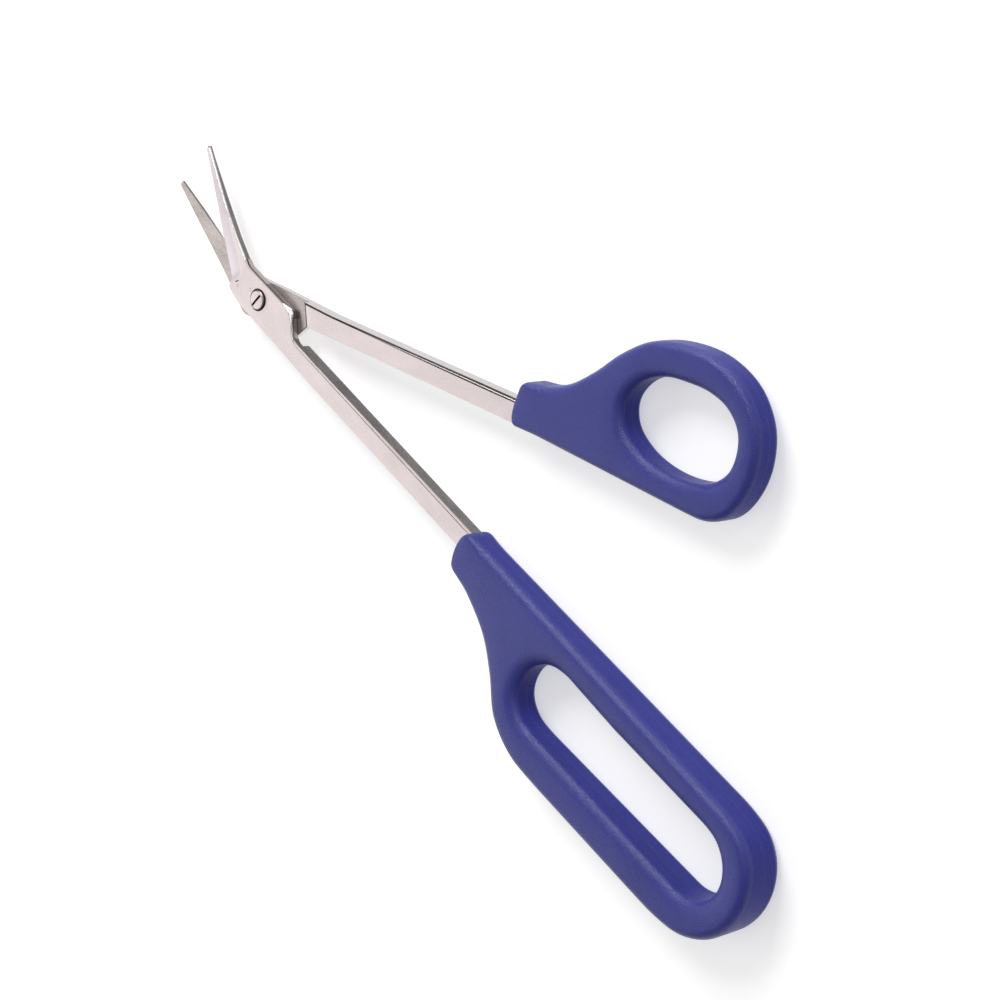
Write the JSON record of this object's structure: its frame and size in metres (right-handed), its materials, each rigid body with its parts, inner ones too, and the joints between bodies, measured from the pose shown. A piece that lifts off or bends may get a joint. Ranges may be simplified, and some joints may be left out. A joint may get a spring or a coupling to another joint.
{
  "type": "long-reach nail scissors",
  "caption": "Long-reach nail scissors: short blades bent to one side of two long steel shanks, with a moulded thumb ring and a four-finger loop.",
  "frame": {"origin": "centre of the bounding box with the scissors half open", "axes": "+X along the front shank from the blades towards the grips, +Y from the finger loop towards the thumb ring, +Z along the pivot axis towards the screw's head"},
  "size_m": [0.2076, 0.0964, 0.0104],
  "materials": {
    "steel": "satin ground stainless steel with bright chamfers",
    "screw": "polished stainless steel",
    "grip": "satin indigo-blue moulded plastic with a fine texture"
  },
  "bodies": {
    "front_arm": {"front_blade": "steel", "finger_grip": "grip"},
    "rear_arm": {"rear_blade": "steel", "pivot_screw": "screw", "thumb_grip": "grip"}
  },
  "joints": [
    {"name": "pivot", "type": "hinge", "parent": "front_arm", "child": "rear_arm", "pos_m": [-0.06715, -0.01811, 0], "axis": [0, 0, 1], "range_deg": [-17.7, 26]}
  ]
}
